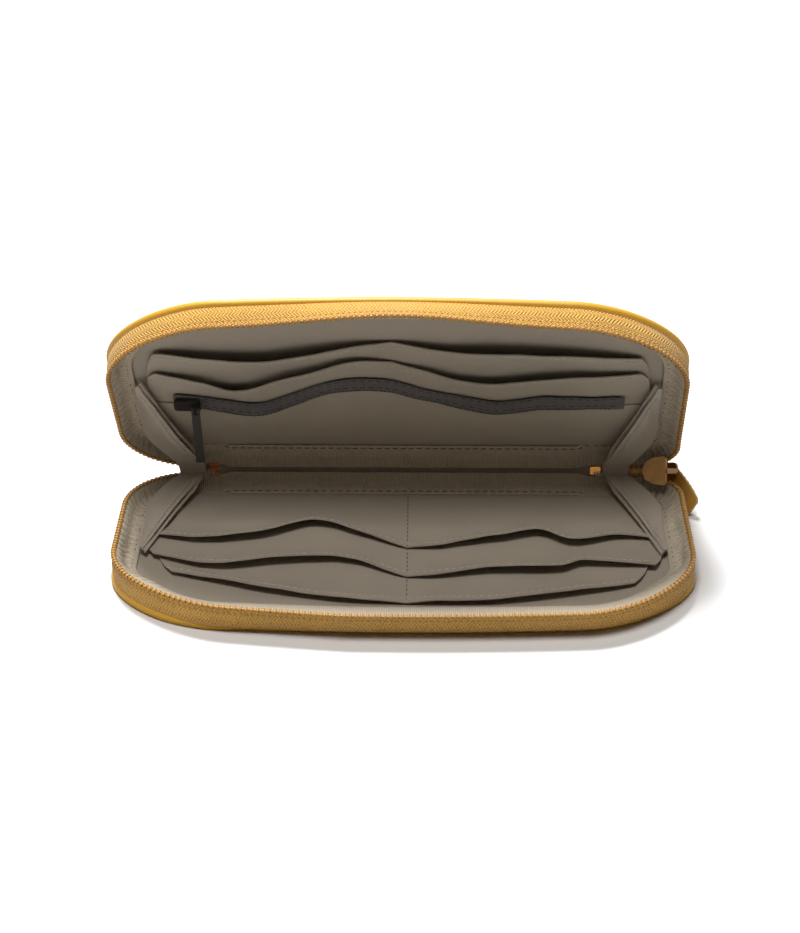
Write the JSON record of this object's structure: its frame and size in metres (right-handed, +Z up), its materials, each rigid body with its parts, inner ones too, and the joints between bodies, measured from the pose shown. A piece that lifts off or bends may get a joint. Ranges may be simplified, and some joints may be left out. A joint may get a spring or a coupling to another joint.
{
  "type": "travel wallet",
  "caption": "Zip-around travel wallet lying open: two soft covers with zip walls, card and note pockets, an inner zip pocket and folded end gussets.",
  "frame": {"origin": "centre of the lower cover's flat underside, on the table", "axes": "+X along the wallet to the slider's end, +Y from the opening to the spine, +Z up"},
  "size_m": [0.2244, 0.1223, 0.1065],
  "materials": {
    "cover": "smooth coated yellow, satin",
    "board": "stiffening board",
    "lining": "plain woven cloth",
    "zip_tape": "herringbone tape",
    "zip_coil": "moulded coil",
    "clip": "worn",
    "ribbon": "ribbed ribbon",
    "dark_tape": "woven tape",
    "dark_metal": "dark lacquer",
    "dark_pull": "matt",
    "slider": "lacquered",
    "pull": "coated strap"
  },
  "bodies": {
    "lower_half": {"lower_cover": "cover", "lower_board": "board", "lower_lining": "lining", "lower_spine_strip": "cover", "lower_zip_tape": "zip_tape", "lower_zip_coil": "zip_coil", "lower_end_stop": "clip", "lower_ribbon": "ribbon", "lower_pocket_row_1": "lining", "lower_pocket_row_2": "lining", "lower_pocket_row_3": "lining", "left_gusset": "lining", "right_gusset": "lining"},
    "upper_half": {"upper_cover": "cover", "upper_board": "board", "upper_lining": "lining", "upper_spine_strip": "cover", "upper_zip_tape": "zip_tape", "upper_zip_coil": "zip_coil", "upper_end_stop": "clip", "upper_ribbon": "ribbon", "upper_pocket_rear": "lining", "upper_pocket_front": "lining", "zip_pocket_panel": "lining", "pocket_zip_tape": "dark_tape", "pocket_zip_coil": "dark_tape"},
    "zip_end": {"zip_end_clip": "clip"},
    "main_slider": {"main_slider": "slider"},
    "main_pull": {"main_pull": "pull"},
    "pocket_slider": {"pocket_slider": "dark_metal"},
    "pocket_pull": {"pocket_pull": "dark_pull"}
  },
  "joints": [
    {"name": "cover_hinge", "type": "hinge", "parent": "lower_half", "child": "upper_half", "pos_m": [0, 0.053, 0.0125], "axis": [-1, 0, 0], "range_deg": [-54.5, 25], "deforming": ["left_gusset", "right_gusset", "lower_zip_coil", "upper_zip_coil"]},
    {"name": "clip_tilt", "type": "hinge", "parent": "lower_half", "child": "zip_end", "pos_m": [0, 0.053, 0.0125], "axis": [-1, 0, 0], "range_deg": [-27.5, 13]},
    {"name": "zip_travel", "type": "hinge", "parent": "zip_end", "child": "main_slider", "pos_m": [0.089, 0.03705, 0.02084], "axis": [0, 0.4633, 0.8862], "range_deg": [0, 11], "deforming": ["lower_zip_coil", "upper_zip_coil"]},
    {"name": "main_pull_swing", "type": "hinge", "parent": "main_slider", "child": "main_pull", "pos_m": [0.10171, 0.05313, 0.01243], "axis": [0.5265, 0.0282, 0.8497], "range_deg": [0, 100]},
    {"name": "pocket_zip_travel", "type": "slide", "parent": "upper_half", "child": "pocket_slider", "axis": [1, 0, 0], "range_m": [0, 0.145]},
    {"name": "pocket_pull_swing", "type": "hinge", "parent": "pocket_slider", "child": "pocket_pull", "pos_m": [-0.07786, 0.03047, 0.04921], "axis": [-1, 0, 0], "range_deg": [-11, 120]}
  ],
  "couplings": [
    {"joint": "clip_tilt", "follows": "cover_hinge", "ratio": 0.5}
  ]
}
